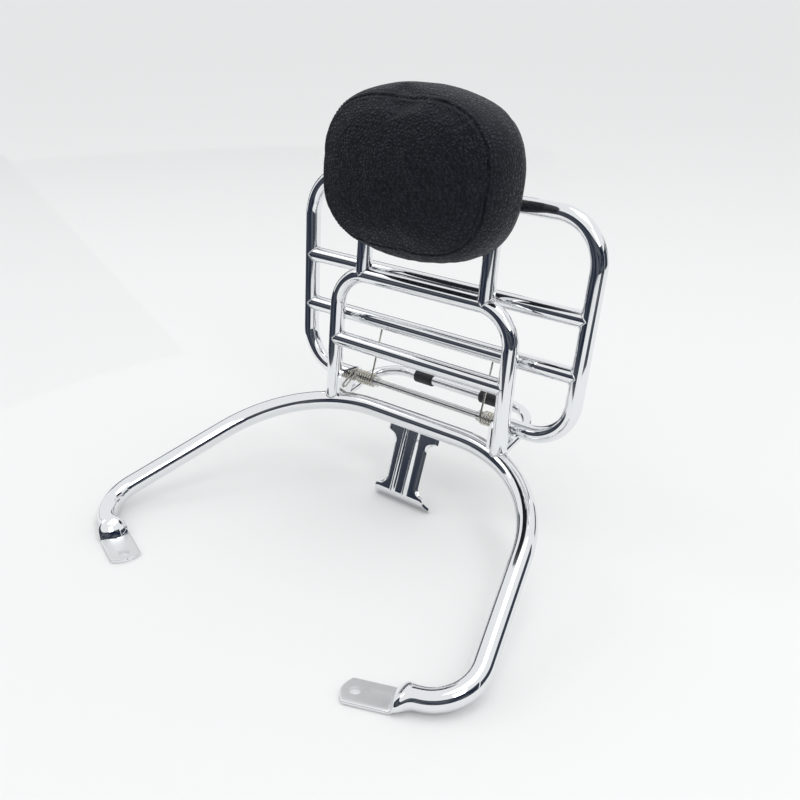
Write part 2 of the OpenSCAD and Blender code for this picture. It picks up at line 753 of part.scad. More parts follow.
// The whole model, centred over its box
module centred() {
    translate([0, -centre_y, 0]) children();
}

centred() main_hoop();
centred() tab(-1);  // left_tab
centred() tab(1);  // right_tab
centred() tail_bracket();
centred() backrest_hoop();
centred() backrest_crossbar();
centred() pad_post(-1);  // left_pad_post
centred() pad_post(1);  // right_pad_post
centred() support_loop();
centred() buffer(-1);  // left_buffer
centred() buffer(1);  // right_buffer
centred() pivot_ear(-1);  // left_pivot_ear
centred() pivot_ear(1);  // right_pivot_ear
centred() pivot_rod();
centred() collar(-1);  // left_collar
centred() collar(1);  // right_collar
centred() spring(-1);  // left_spring
centred() spring(1);  // right_spring
centred() carrier_frame();
centred() carrier_cross(carrier_upper_bar);  // carrier_upper_tube
centred() carrier_cross(carrier_lower_bar);  // carrier_lower_tube
centred() hinge_bush(-1);  // left_hinge_bush
centred() hinge_bush(1);  // right_hinge_bush
centred() pad_cover();
centred() pad_foam();
centred() pad_board();
centred() pad_screws();
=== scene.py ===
# %% [markdown]
# A chromed scooter backrest with a sprung folding carrier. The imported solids
# are loaded first and give every place. Smooth pieces are then modelled over
# the tubes, because polished chrome shows each facet of a plain solid.

# %% Load the solids and keep their box
import bpy
import bmesh
import math
from mathutils import Matrix, Vector, noise
from mathutils.bvhtree import BVHTree
from mathutils.kdtree import KDTree


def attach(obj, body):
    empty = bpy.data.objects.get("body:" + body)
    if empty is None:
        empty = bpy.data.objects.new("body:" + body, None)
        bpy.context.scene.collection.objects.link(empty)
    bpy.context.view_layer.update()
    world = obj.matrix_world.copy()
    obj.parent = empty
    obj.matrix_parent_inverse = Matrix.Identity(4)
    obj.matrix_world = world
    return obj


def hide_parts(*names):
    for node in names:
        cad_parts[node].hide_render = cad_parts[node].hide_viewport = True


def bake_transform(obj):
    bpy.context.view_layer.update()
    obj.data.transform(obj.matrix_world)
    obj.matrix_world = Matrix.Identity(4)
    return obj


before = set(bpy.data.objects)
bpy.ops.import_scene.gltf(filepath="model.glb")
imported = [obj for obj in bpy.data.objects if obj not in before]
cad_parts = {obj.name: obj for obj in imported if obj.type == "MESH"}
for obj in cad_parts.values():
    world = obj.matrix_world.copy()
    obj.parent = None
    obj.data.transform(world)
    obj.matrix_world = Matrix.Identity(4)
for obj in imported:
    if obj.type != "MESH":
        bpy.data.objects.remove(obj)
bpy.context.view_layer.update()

# %% [markdown]
# The makers bend and weld this rack from a few tube sizes, so its sizes are
# kept together here, in millimetres. Two frames serve: the floor's own, and
# one that leans with the backrest and starts at the foot of its uprights.

# %% Sizes and the two frames
MM = 0.001
CENTRE_Y = -111.2428
LEAN = math.radians(6.5)
FOOT_Y = -10.3036
FOOT_Z = 92.6185
PIVOT_Y = 27.5
PIVOT_Z = 29.5
HOOP_TUBE = 22
THIN_TUBE = 18
LOOP_TUBE = 12


def on_floor(x, y, z):
    """A place that is measured from the rear span and the floor."""
    return Vector((x, y - CENTRE_Y, z)) * MM


def on_back(x, y, z):
    """A place that is measured in the leaning frame of the backrest."""
    across = FOOT_Y + y * math.cos(LEAN) + z * math.sin(LEAN)
    up = FOOT_Z - y * math.sin(LEAN) + z * math.cos(LEAN)
    return on_floor(x, across, up)


def flipped(point):
    """The same place on the other side of the middle."""
    return Vector((-point.x, point.y, point.z))


print("pivot at", on_back(0, PIVOT_Y, PIVOT_Z))

# %% [markdown]
# Every finish starts as a node material. Two effects serve more than one
# metal: a faint cloudiness that varies the gloss, and fine polishing marks.
# They sit in one node group, so each metal only sets its own amounts.

# %% Group for the cloudiness and marks of plated metal
def new_group(name, inputs, outputs):
    """An empty shader group with named sockets."""
    group = bpy.data.node_groups.new(name, "ShaderNodeTree")
    for label, kind, value in inputs:
        socket = group.interface.new_socket(label, in_out="INPUT", socket_type=kind)
        socket.default_value = value
    for label, kind in outputs:
        group.interface.new_socket(label, in_out="OUTPUT", socket_type=kind)
    return group


FLOAT = "NodeSocketFloat"
plated = new_group(
    "plated_surface",
    [("Roughness", FLOAT, 0.06), ("Cloud", FLOAT, 0.04), ("Cloud Scale", FLOAT, 30.0),
     ("Marks", FLOAT, 0.02)],
    [("Roughness", FLOAT), ("Height", FLOAT)],
)


def add(tree, kind, **settings):
    """A node of that kind, with its settings made."""
    node = tree.nodes.new(kind)
    for key, value in settings.items():
        setattr(node, key, value)
    return node


def fill_plated(tree):
    """Noise raises the roughness a little, and finer noise marks the skin."""
    entry = add(tree, "NodeGroupInput")
    leave = add(tree, "NodeGroupOutput")
    place = add(tree, "ShaderNodeTexCoord")
    cloud = add(tree, "ShaderNodeTexNoise")
    cloud.inputs["Detail"].default_value = 3.0
    marks = add(tree, "ShaderNodeTexNoise")
    marks.inputs["Scale"].default_value = 420.0
    grow = add(tree, "ShaderNodeMath", operation="MULTIPLY_ADD")
    lift = add(tree, "ShaderNodeMath", operation="MULTIPLY")
    tree.links.new(place.outputs["Object"], cloud.inputs["Vector"])
    tree.links.new(entry.outputs["Cloud Scale"], cloud.inputs["Scale"])
    tree.links.new(place.outputs["Object"], marks.inputs["Vector"])
    tree.links.new(cloud.outputs["Fac"], grow.inputs[0])
    tree.links.new(entry.outputs["Cloud"], grow.inputs[1])
    tree.links.new(entry.outputs["Roughness"], grow.inputs[2])
    tree.links.new(grow.outputs[0], leave.inputs["Roughness"])
    tree.links.new(marks.outputs["Fac"], lift.inputs[0])
    tree.links.new(entry.outputs["Marks"], lift.inputs[1])
    tree.links.new(lift.outputs[0], leave.inputs["Height"])


fill_plated(plated)
print("group", plated.name)

# %% [markdown]
# The tubes are polished chrome, as even as a mirror. The weld beads under the
# same plating are rougher, the pressed flats are satin, the small turned
# parts are bright zinc, and the springs are plain wire with a warm tone. Each
# is one shader whose roughness and bump come from the group.

# %% Metals
def new_material(name):
    """A material with its tree, its shader and nothing else."""
    material = bpy.data.materials.new(name)
    material.use_nodes = True
    return material, material.node_tree, material.node_tree.nodes["Principled BSDF"]


def plated_metal(name, colour, roughness, cloud, marks, cloud_scale=30.0):
    """A metal whose gloss and bump come from the plated group."""
    material, tree, shader = new_material(name)
    shader.inputs["Base Color"].default_value = (*colour, 1.0)
    shader.inputs["Metallic"].default_value = 1.0
    group = add(tree, "ShaderNodeGroup", node_tree=plated)
    group.inputs["Roughness"].default_value = roughness
    group.inputs["Cloud"].default_value = cloud
    group.inputs["Cloud Scale"].default_value = cloud_scale
    group.inputs["Marks"].default_value = marks
    bump = add(tree, "ShaderNodeBump")
    bump.inputs["Distance"].default_value = 0.0004
    bump.inputs["Strength"].default_value = 0.35
    tree.links.new(group.outputs["Roughness"], shader.inputs["Roughness"])
    tree.links.new(group.outputs["Height"], bump.inputs["Height"])
    tree.links.new(bump.outputs["Normal"], shader.inputs["Normal"])
    return material


chrome = plated_metal("polished_chrome", (0.84, 0.85, 0.865), 0.03, 0.04, 0.012)
bead_chrome = plated_metal("chromed_weld", (0.74, 0.75, 0.77), 0.12, 0.14, 0.35, 220.0)
satin_chrome = plated_metal("satin_chrome", (0.76, 0.765, 0.77), 0.36, 0.10, 0.16, 60.0)
zinc = plated_metal("bright_zinc", (0.68, 0.68, 0.67), 0.12, 0.12, 0.12, 90.0)
spring_steel = plated_metal("spring_wire", (0.66, 0.63, 0.57), 0.20, 0.14, 0.2, 140.0)
print("metals", chrome.name, bead_chrome.name, satin_chrome.name, zinc.name, spring_steel.name)

# %% [markdown]
# The cover is black leather with a pebbled grain. A pattern of cells about
# four millimetres wide raises the bump, and a broader noise makes the pebbles
# uneven. The tops of the pebbles are glossier than the grooves, and the
# grooves are painted darker, as painted shade in the hollows.

# %% Black pebbled leather
def leather_material(name, colour, pebble):
    """Pebbled leather with a soft sheen."""
    material, tree, shader = new_material(name)
    place = add(tree, "ShaderNodeTexCoord")
    warp = add(tree, "ShaderNodeTexNoise")
    warp.inputs["Scale"].default_value = 240.0
    bend = add(tree, "ShaderNodeMixRGB", blend_type="LINEAR_LIGHT")
    bend.inputs["Fac"].default_value = 0.0009
    cells = add(tree, "ShaderNodeTexVoronoi", feature="DISTANCE_TO_EDGE")
    cells.inputs["Scale"].default_value = 1.0 / pebble
    tops = add(tree, "ShaderNodeValToRGB")
    tops.color_ramp.elements[0].position = 0.0
    tops.color_ramp.elements[1].position = 0.38
    tops.color_ramp.interpolation = "EASE"
    broad = add(tree, "ShaderNodeTexNoise")
    broad.inputs["Scale"].default_value = 42.0
    broad.inputs["Detail"].default_value = 1.0
    raised = add(tree, "ShaderNodeMath", operation="MULTIPLY_ADD")
    raised.inputs[1].default_value = 0.22
    tree.links.new(place.outputs["Object"], warp.inputs["Vector"])
    tree.links.new(place.outputs["Object"], bend.inputs["Color1"])
    tree.links.new(warp.outputs["Color"], bend.inputs["Color2"])
    tree.links.new(bend.outputs["Color"], cells.inputs["Vector"])
    tree.links.new(place.outputs["Object"], broad.inputs["Vector"])
    tree.links.new(cells.outputs["Distance"], tops.inputs["Fac"])
    tree.links.new(broad.outputs["Fac"], raised.inputs[0])
    tree.links.new(tops.outputs["Color"], raised.inputs[2])
    bump = add(tree, "ShaderNodeBump")
    bump.inputs["Distance"].default_value = 0.0007
    bump.inputs["Strength"].default_value = 0.9
    tree.links.new(raised.outputs[0], bump.inputs["Height"])
    tree.links.new(bump.outputs["Normal"], shader.inputs["Normal"])
    # Painted shade: the grooves get a quarter of the leather's colour, darker than the pebble tops.
    shade = add(tree, "ShaderNodeMixRGB")
    shade.inputs["Color1"].default_value = (*[c * 0.25 for c in colour], 1.0)
    shade.inputs["Color2"].default_value = (*colour, 1.0)
    tree.links.new(tops.outputs["Color"], shade.inputs["Fac"])
    tree.links.new(shade.outputs["Color"], shader.inputs["Base Color"])
    gloss = add(tree, "ShaderNodeMapRange")
    gloss.inputs["To Min"].default_value = 0.60
    gloss.inputs["To Max"].default_value = 0.34
    tree.links.new(tops.outputs["Color"], gloss.inputs["Value"])
    tree.links.new(gloss.outputs["Result"], shader.inputs["Roughness"])
    shader.inputs["Specular IOR Level"].default_value = 0.36
    shader.inputs["Specular Tint"].default_value = (0.78, 0.87, 1.0, 1.0)
    return material


leather = leather_material("black_leather", (0.0070, 0.0085, 0.0145), 0.0040)
print("leather", leather.name)

# %% [markdown]
# Rubber, thread, foam and the painted board are dull. Each is one shader with
# a fine noise, so that none of them is a single flat colour.

# %% Dull materials
def dull_material(name, dark, light, roughness, scale, depth):
    """A dull surface whose colour and bump vary with a fine noise."""
    material, tree, shader = new_material(name)
    place = add(tree, "ShaderNodeTexCoord")
    grain = add(tree, "ShaderNodeTexNoise")
    grain.inputs["Scale"].default_value = scale
    grain.inputs["Detail"].default_value = 5.0
    tint = add(tree, "ShaderNodeMixRGB")
    tint.inputs["Color1"].default_value = (*dark, 1.0)
    tint.inputs["Color2"].default_value = (*light, 1.0)
    bump = add(tree, "ShaderNodeBump")
    bump.inputs["Distance"].default_value = depth
    bump.inputs["Strength"].default_value = 0.5
    tree.links.new(place.outputs["Object"], grain.inputs["Vector"])
    tree.links.new(grain.outputs["Fac"], tint.inputs["Fac"])
    tree.links.new(tint.outputs["Color"], shader.inputs["Base Color"])
    tree.links.new(grain.outputs["Fac"], bump.inputs["Height"])
    tree.links.new(bump.outputs["Normal"], shader.inputs["Normal"])
    shader.inputs["Roughness"].default_value = roughness
    return material


rubber = dull_material("black_rubber", (0.010, 0.010, 0.012), (0.022, 0.022, 0.026), 0.55, 260.0, 0.0003)
thread = dull_material("black_thread", (0.012, 0.013, 0.018), (0.032, 0.034, 0.044), 0.6, 900.0, 0.0003)
board_paint = dull_material("painted_board", (0.011, 0.011, 0.011), (0.022, 0.021, 0.020), 0.7, 120.0, 0.0004)
hidden_foam = dull_material("pad_foam", (0.45, 0.40, 0.28), (0.55, 0.50, 0.36), 0.9, 300.0, 0.0005)
print("dull", rubber.name, thread.name, board_paint.name, hidden_foam.name)

# %% [markdown]
# A bent tube is made as on the bender: a ring of points is pushed along the
# straight, then spun round the bend's centre, and so on to the far end.


def finish_mesh(bm, name, material, body, sharp=35.0):
    """Turns a bmesh into a piece that rides on a body."""
    bmesh.ops.recalc_face_normals(bm, faces=bm.faces)
    mesh = bpy.data.meshes.new(name)
    bm.to_mesh(mesh)
    bm.free()
    mesh.shade_smooth()
    mesh.set_sharp_from_angle(angle=math.radians(sharp))
    piece = bpy.data.objects.new(name, mesh)
    bpy.context.scene.collection.objects.link(piece)
    piece.data.materials.append(material)
    if body:
        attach(piece, body)
    return piece


def cap_open_rims(bm):
    """Closes the open ends of a skin."""
    rims = [edge for edge in bm.edges if edge.is_boundary]
    bmesh.ops.holes_fill(bm, edges=rims, sides=0)


def bent_tube(name, points, radii, diameter, body, material=chrome, ring=48):
    """Tube skin along points, with a bend of the given radius at each inner one."""
    bm = bmesh.new()
    along = (points[1] - points[0]).normalized()
    turn = Matrix.Translation(points[0]) @ along.to_track_quat("Z", "Y").to_matrix().to_4x4()
    bmesh.ops.create_circle(bm, segments=ring, radius=diameter / 2 * MM, matrix=turn)
    rim = list(bm.verts) + list(bm.edges)
    at = points[0]
    for index, corner in enumerate(points[1:], start=1):
        along = (corner - points[index - 1]).normalized()
        last = index == len(points) - 1
        after = along if last else (points[index + 1] - corner).normalized()
        bend = along.angle(after)
        radius = 0 if last else radii[index - 1] * MM
        stop = corner - along * radius * math.tan(bend / 2)
        rim_edges = [part for part in rim if isinstance(part, bmesh.types.BMEdge)]
        grown = bmesh.ops.extrude_edge_only(bm, edges=rim_edges)["geom"]
        ends = [part for part in grown if isinstance(part, bmesh.types.BMVert)]
        bmesh.ops.translate(bm, verts=ends, vec=stop - at)
        grown_edges = [part for part in grown if isinstance(part, bmesh.types.BMEdge)]
        rim = ends + [edge for edge in grown_edges if all(vert in ends for vert in edge.verts)]
        if not last:
            inward = (after - along).normalized()
            centre = corner + inward * radius / math.cos(bend / 2)
            steps = max(4, round(math.degrees(bend) / 3))
            spun = bmesh.ops.spin(bm, geom=rim, cent=centre, axis=along.cross(after).normalized(),
                                  angle=bend, steps=steps)
            rim = [g for g in spun["geom_last"] if not isinstance(g, bmesh.types.BMFace)]
            at = corner + after * radius * math.tan(bend / 2)
    cap_open_rims(bm)
    piece = finish_mesh(bm, name, material, body)
    print(name, len(piece.data.polygons), "faces")
    return piece


# %% [markdown]
# The main hoop is the thickest tube. It lies low round the rider's seat and
# rises to the rear span, on which everything else stands.

# %% Main hoop
REAR = Vector((178, 0, 96))
FRONT = Vector((257, -259, 11))
REAR_BEND = 155
FRONT_BEND = 45
TAB_ANGLE = math.radians(21)
TAB_LEAD = 45.0722
TAB_TURN = Vector((-math.cos(TAB_ANGLE), -math.sin(TAB_ANGLE), 0))
tube_end = FRONT + TAB_TURN * TAB_LEAD
hoop_points = [on_floor(*tube_end), on_floor(*FRONT), on_floor(*REAR)]
hoop_points = hoop_points + [flipped(p) for p in reversed(hoop_points)]
hoop_bends = [FRONT_BEND, REAR_BEND, REAR_BEND, FRONT_BEND]
main_skin = bent_tube("main_hoop_tube", hoop_points, hoop_bends, HOOP_TUBE, "rack")
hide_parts("main_hoop")

# %% [markdown]
# A thinner hoop stands on the rear bends and leans back with the rider. It
# has one crossbar, and two posts on its top bar carry the pad. The rear bends
# curve down and forward, so the foot of each upright is worked out on them.

# %% Backrest hoop, crossbar and posts
UPRIGHT = 118.5
TOP = 162
TOP_BEND = 42


def rear_axis(x):
    """Place of the main hoop's axis at a distance from the middle."""
    slope = math.atan2(REAR.z - FRONT.z, -FRONT.y)
    corner_turn = Vector((-1, 0, 0)).angle(FRONT - REAR)
    cut = REAR_BEND / math.tan(corner_turn / 2)
    off = max(0, x - REAR.x + cut)
    sag = REAR_BEND - math.sqrt(REAR_BEND ** 2 - off ** 2)
    return (x, -sag * math.cos(slope), REAR.z - sag * math.sin(slope))


back_points = [on_back(-UPRIGHT, 0, 0), on_back(-UPRIGHT, 0, TOP), on_back(UPRIGHT, 0, TOP),
               on_back(UPRIGHT, 0, 0)]
print("axis at the upright", rear_axis(UPRIGHT))

backrest_skin = bent_tube("backrest_hoop_tube", back_points, [TOP_BEND, TOP_BEND], THIN_TUBE, "rack")
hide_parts("backrest_hoop")

CROSSBAR = 80
crossbar_points = [on_back(-UPRIGHT, 0, CROSSBAR), on_back(UPRIGHT, 0, CROSSBAR)]
crossbar_skin = bent_tube("backrest_crossbar_tube", crossbar_points, [], THIN_TUBE, "rack")
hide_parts("backrest_crossbar")

POST = 83
POST_LONG = 150
SIDES = ((-1, "left"), (1, "right"))
for side, label in SIDES:
    post_points = [on_back(side * POST, 0, TOP), on_back(side * POST, 0, TOP + POST_LONG)]
    post = bent_tube(label + "_pad_post_tube", post_points, [], THIN_TUBE, "rack")
    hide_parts(label + "_pad_post")

# %% [markdown]
# A bent bar behind the seat carries two rubber buffers. The carrier rests on
# them when it is folded down.

# %% Support loop
LOOP = 115
LOOP_BACK = 82
LOOP_UP = 110
LOOP_BEND = 40
loop_root = on_floor(*rear_axis(LOOP))
loop_corner = on_floor(LOOP, LOOP_BACK, LOOP_UP)
loop_points = [loop_root, loop_corner, flipped(loop_corner), flipped(loop_root)]
loop_skin = bent_tube("support_loop_bar", loop_points, [LOOP_BEND, LOOP_BEND], LOOP_TUBE, "rack")
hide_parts("support_loop")

# %% [markdown]
# The carrier is one bent tube, a little wider at its free end, whose two ends
# turn on the pivot rod. Two cross tubes stiffen it. It rides on its own body.

# %% Folding carrier
CARRIER_LOW = 183
CARRIER_TOP = 191
CARRIER_LONG = 235
LOW_BEND = 47
CORNER_BEND = 50
EAR_GAP = 0.8
RUNGS = {"upper": 135, "lower": 75}
carrier_end = on_back(UPRIGHT - THIN_TUBE / 2 + EAR_GAP, PIVOT_Y, PIVOT_Z)
carrier_low = on_back(CARRIER_LOW, PIVOT_Y, PIVOT_Z)
carrier_top = on_back(CARRIER_TOP, PIVOT_Y, PIVOT_Z + CARRIER_LONG)
carrier_points = [carrier_end, carrier_low, carrier_top]
carrier_points = carrier_points + [flipped(p) for p in reversed(carrier_points)]
carrier_bends = [LOW_BEND, CORNER_BEND, CORNER_BEND, LOW_BEND]
carrier_skin = bent_tube("carrier_frame_tube", carrier_points, carrier_bends, THIN_TUBE, "carrier")
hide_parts("carrier_frame")


def rung_end(side, height):
    """The place where a cross tube meets the frame, at a height above the pivot."""
    reach = CARRIER_LOW + (CARRIER_TOP - CARRIER_LOW) * height / CARRIER_LONG
    return on_back(side * reach, PIVOT_Y, PIVOT_Z + height)


for label, height in RUNGS.items():
    rung_points = [rung_end(-1, height), rung_end(1, height)]
    rung = bent_tube("carrier_" + label + "_rung", rung_points, [], THIN_TUBE, "carrier")
    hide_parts("carrier_" + label + "_tube")

# %% [markdown]
# Where tubes meet they are welded all round and then plated over. The bead is
# a thin wire that follows the line where the smaller tube enters the larger.
# A noise makes it a little uneven. Blender would start that noise from the
# clock, so it gets a seed, and each run makes the same beads.

# %% Weld beads
BEAD_SEED = 7
noise.seed_set(BEAD_SEED)


def saddle(centre, branch, branch_r, spine, spine_r, count=64):
    """Points where a branch tube leaves the skin of the tube it stands on."""
    branch = branch.normalized()
    spine = spine.normalized()
    side = branch.cross(spine).normalized()
    other = side.cross(branch)
    points = []
    for step in range(count):
        angle = 2 * math.pi * step / count
        ring_at = (side * math.cos(angle) + other * math.sin(angle)) * branch_r * MM
        across = ring_at - spine * ring_at.dot(spine)
        lead = branch - spine * branch.dot(spine)
        part = across.dot(lead)
        under_root = part * part - lead.length_squared * (across.length_squared - (spine_r * MM) ** 2)
        along = (-part + math.sqrt(max(under_root, 0.0))) / lead.length_squared
        points.append(centre + ring_at + branch * along)
    return points


def wire(name, points, diameter, material, body, closed=False, ring=5):
    """A round wire through points, made a mesh at once."""
    curve = bpy.data.curves.new(name, "CURVE")
    curve.dimensions = "3D"
    curve.bevel_depth = diameter / 2 * MM
    curve.bevel_resolution = ring
    curve.use_fill_caps = not closed
    spline = curve.splines.new("POLY")
    spline.points.add(len(points) - 1)
    for place, point in zip(spline.points, points):
        place.co = (*point, 1.0)
    spline.use_cyclic_u = closed
    holder = bpy.data.objects.new(name + "_path", curve)
    bpy.context.scene.collection.objects.link(holder)
    depsgraph = bpy.context.evaluated_depsgraph_get()
    mesh = bpy.data.meshes.new_from_object(holder.evaluated_get(depsgraph))
    bpy.data.objects.remove(holder)
    bm = bmesh.new()
    bm.from_mesh(mesh)
    bpy.data.meshes.remove(mesh)
    bmesh.ops.remove_doubles(bm, verts=bm.verts, dist=1e-6)
    return finish_mesh(bm, name, material, body, sharp=60.0)


def uneven(points, amount, seed):
    """The same points, each moved a little, as a bead laid by hand."""
    return [p + noise.noise_vector(p * 260.0 + Vector((seed, 0, 0))) * amount * MM for p in points]


UP = on_back(0, 0, 1) - on_back(0, 0, 0)
ACROSS = Vector((1, 0, 0))


def weld(name, centre, branch, branch_r, spine, spine_r, body, bead=2.6):
    """One bead round a joint."""
    points = uneven(saddle(centre, branch, branch_r, spine, spine_r), 0.35, len(name))
    return wire(name, points, bead, bead_chrome, body, closed=True)


HOOP_R = HOOP_TUBE / 2
THIN_R = THIN_TUBE / 2
LOOP_R = LOOP_TUBE / 2
LOW_BEAD = 1.8
RUNG_BEAD = 1.7
weld_count = 0
for side, label in SIDES:
    foot = on_floor(*rear_axis(UPRIGHT))
    beside = on_floor(*rear_axis(UPRIGHT + 4)) - on_floor(*rear_axis(UPRIGHT - 4))
    root = on_floor(*rear_axis(LOOP))
    stile = carrier_top - carrier_low
    for place in (foot, beside, root, stile):
        place.x *= side
    inward = -side * ACROSS
    crossbar_end = on_back(side * UPRIGHT, 0, CROSSBAR)
    post_foot = on_back(side * POST, 0, TOP)
    loop_way = on_floor(0, LOOP_BACK, LOOP_UP) - on_floor(0, *rear_axis(LOOP)[1:])
    weld(label + "_foot_weld", foot, UP, THIN_R, beside, HOOP_R, "rack")
    weld(label + "_crossbar_weld", crossbar_end, inward, THIN_R, UP, THIN_R, "rack", LOW_BEAD)
    weld(label + "_post_weld", post_foot, UP, THIN_R, ACROSS, THIN_R, "rack", LOW_BEAD)
    weld(label + "_loop_weld", root, loop_way, LOOP_R, beside, HOOP_R, "rack", LOW_BEAD)
    for height in sorted(RUNGS.values()):
        name = label + "_rung_weld_" + str(height)
        weld(name, rung_end(side, height), inward, THIN_R, stile, THIN_R, "carrier", RUNG_BEAD)
    weld_count += 6
print(weld_count, "weld beads")

# %% [markdown]
# Two torsion springs push the carrier up. Each is one wire: a hook through
# the ear, a short leg, seven coils round the rod, and a long leg that bears
# on the carrier's lower rung.

# %% Springs
WIRE = 2.3
COIL = 16.6
COIL_R = (COIL - WIRE) / 2
COILS = 7
COIL_STEPS = 360
EAR_THICK = 4
EAR_IN = UPRIGHT - THIN_R - EAR_THICK
SPRING_OUT = EAR_IN - 1.5
SPRING_IN = SPRING_OUT - 26.8
ANCHOR = (2.5, PIVOT_Z - 8.5)


def spring_points(side):
    """Places along the wire, from the hook to the end of the long leg."""
    reach = (ANCHOR[0] - PIVOT_Y, ANCHOR[1] - PIVOT_Z)
    away = math.hypot(*reach)
    short = math.atan2(reach[1], reach[0]) + 2 * math.pi - math.acos(COIL_R / away)
    leg_pass = THIN_R + WIRE / 2 + 0.3
    far = math.hypot(RUNGS["lower"], leg_pass)
    long = math.pi - (math.asin(COIL_R / far) + math.atan2(leg_pass, RUNGS["lower"]))
    sweep = short - long + 2 * math.pi * COILS
    out = SPRING_OUT - WIRE / 2
    into = SPRING_IN + WIRE / 2
    leg = math.sqrt(away ** 2 - COIL_R ** 2)

    def short_at(t):
        """A place on the short leg, t millimetres from the coil."""
        y = PIVOT_Y + COIL_R * math.cos(short) - t * math.sin(short)
        z = PIVOT_Z + COIL_R * math.sin(short) + t * math.cos(short)
        return y, z

    points = [(EAR_IN + EAR_THICK * 0.8, *short_at(leg))]
    for step in range(6):
        turn = math.pi / 2 * (1 - step / 5)
        points.append((out + WIRE * (1 - math.cos(turn)), *short_at(leg - WIRE + WIRE * math.sin(turn))))
    for step in range(COIL_STEPS + 1):
        share = step / COIL_STEPS
        turn = short - sweep * share
        points.append((out + (into - out) * share, PIVOT_Y + COIL_R * math.cos(turn),
                       PIVOT_Z + COIL_R * math.sin(turn)))
    length = math.sqrt(far ** 2 - COIL_R ** 2) + 3
    points.append((into, PIVOT_Y + COIL_R * math.cos(long) + math.sin(long) * length,
                   PIVOT_Z + COIL_R * math.sin(long) - math.cos(long) * length))
    return [on_back(side * x, y, z) for x, y, z in points]


for side, label in SIDES:
    coil = wire(label + "_spring_wire", spring_points(side), WIRE, spring_steel, None, ring=6)
    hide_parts(label + "_spring")
    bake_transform(coil)
    print(coil.name, len(coil.data.polygons), "faces")

# %% [markdown]
# The buffers are short rubber sleeves on the loop. Each is a profile spun
# round the bar, with a shallow groove at both ends.

# %% Rubber buffers
def spun(name, profile, centre, axis, material, body, steps=48):
    """A closed profile of (place along, radius) pairs spun round an axis."""
    bm = bmesh.new()
    side = axis.cross(Vector((0, 0, 1)))
    side = side.normalized() if side.length > 0.01 else Vector((0, 1, 0))
    verts = [bm.verts.new(centre + axis * a * MM + side * r * MM) for a, r in profile]
    edges = [bm.edges.new((verts[i], verts[(i + 1) % len(verts)])) for i in range(len(verts))]
    bmesh.ops.spin(bm, geom=verts + edges, cent=centre, axis=axis, angle=2 * math.pi, steps=steps,
                   use_merge=True)
    bmesh.ops.remove_doubles(bm, verts=bm.verts, dist=1e-7)
    return finish_mesh(bm, name, material, body)


sleeve = [(-13, 6.05), (-13, 7.2), (-12.6, 7.7), (-12, 8.0), (-10.4, 8.0), (-10.0, 7.7), (-9.6, 7.7),
          (-9.2, 8.0), (9.2, 8.0), (9.6, 7.7), (10.0, 7.7), (10.4, 8.0), (12, 8.0), (12.6, 7.7), (13, 7.2),
          (13, 6.05)]
BUFFER_X = 48
for side, label in SIDES:
    middle_of_sleeve = on_floor(side * BUFFER_X, LOOP_BACK, LOOP_UP)
    buffer = spun(label + "_buffer_sleeve", sleeve, middle_of_sleeve, ACROSS, rubber, "rack")
    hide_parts(label + "_buffer")
print("buffers", len(sleeve), "points in the profile")

# %% [markdown]
# The pad is foam under leather. A ring is shaped to the pad's outline and
# extruded from the front to the back. The form is then remeshed evenly and
# blown up a little with cloth pressure, as foam fills its cover, and no point
# may move more than a few millimetres.

# %% Form of the pad
PAD_UP = 285.5
PAD_W = 115.5
PAD_H = 88
SEAM_Y = -55
SEAM_INSET = 11.5
CROWN = 11
PAD_BACK = PIVOT_Y - THIN_R - 0.3
SHRINK = 1.6
ROUNDNESS = 2.8


def outline_place(angle, inset, share=1.0):
    """A place on the pad's rounded outline, as across and up."""
    power = 2 / ROUNDNESS
    across = math.copysign(abs(math.cos(angle)) ** power, math.cos(angle)) * (PAD_W - inset) * share
    up = math.copysign(abs(math.sin(angle)) ** power, math.sin(angle)) * (PAD_H - inset) * share
    return across, up


def pad_rings():
    """Rings from the front dome to the back, as place, inset and share of the outline."""
    dome = [(SEAM_Y - CROWN * (1 - t * t) + SHRINK, SEAM_INSET + SHRINK, t)
            for t in (0.05, 0.3, 0.55, 0.78, 1.0)]
    side = [(SEAM_Y * 0.9, SEAM_INSET * 0.72), (SEAM_Y * 0.72, SEAM_INSET * 0.34), (SEAM_Y * 0.45, 1.0),
            (SEAM_Y * 0.1, 1.0), (5, 3.5), (11, 7.0), (PAD_BACK - 2.4, 11)]
    back = [(PAD_BACK - SHRINK * 0.4, 15, 1.0), (PAD_BACK - SHRINK * 0.4, 23, 1.0),
            (PAD_BACK - 4.5, 25, 1.0), (PAD_BACK - 4.5, 25, 0.5), (PAD_BACK - 4.5, 25, 0.05)]
    return dome + [(y, inset + SHRINK, 1.0) for y, inset in side] + back


def extruded_rings(rings, count, place):
    """A skin through rings: each ring is extruded from the last and its points are put in place."""
    bm = bmesh.new()
    bmesh.ops.create_circle(bm, segments=count, radius=1.0)
    steps = {vert: step for step, vert in enumerate(bm.verts)}
    edges = list(bm.edges)
    for index, ring in enumerate(rings):
        if index:
            known = {vert.co.to_tuple(7): step for vert, step in steps.items()}
            grown = bmesh.ops.extrude_edge_only(bm, edges=edges)
            made = {g for g in grown["geom"] if isinstance(g, bmesh.types.BMVert)}
            edges = [g for g in grown["geom"]
                     if isinstance(g, bmesh.types.BMEdge) and made.issuperset(g.verts)]
            steps = {vert: known[vert.co.to_tuple(7)] for vert in made}
        for vert, step in steps.items():
            vert.co = place(2 * math.pi * step / count, ring)
    cap_open_rims(bm)
    bmesh.ops.recalc_face_normals(bm, faces=bm.faces)
    return bm


def pad_place(angle, ring):
    """A point of a pad ring in the leaning frame."""
    y, inset, share = ring
    across, up = outline_place(angle, inset, share)
    return on_back(across, y, PAD_UP + up)


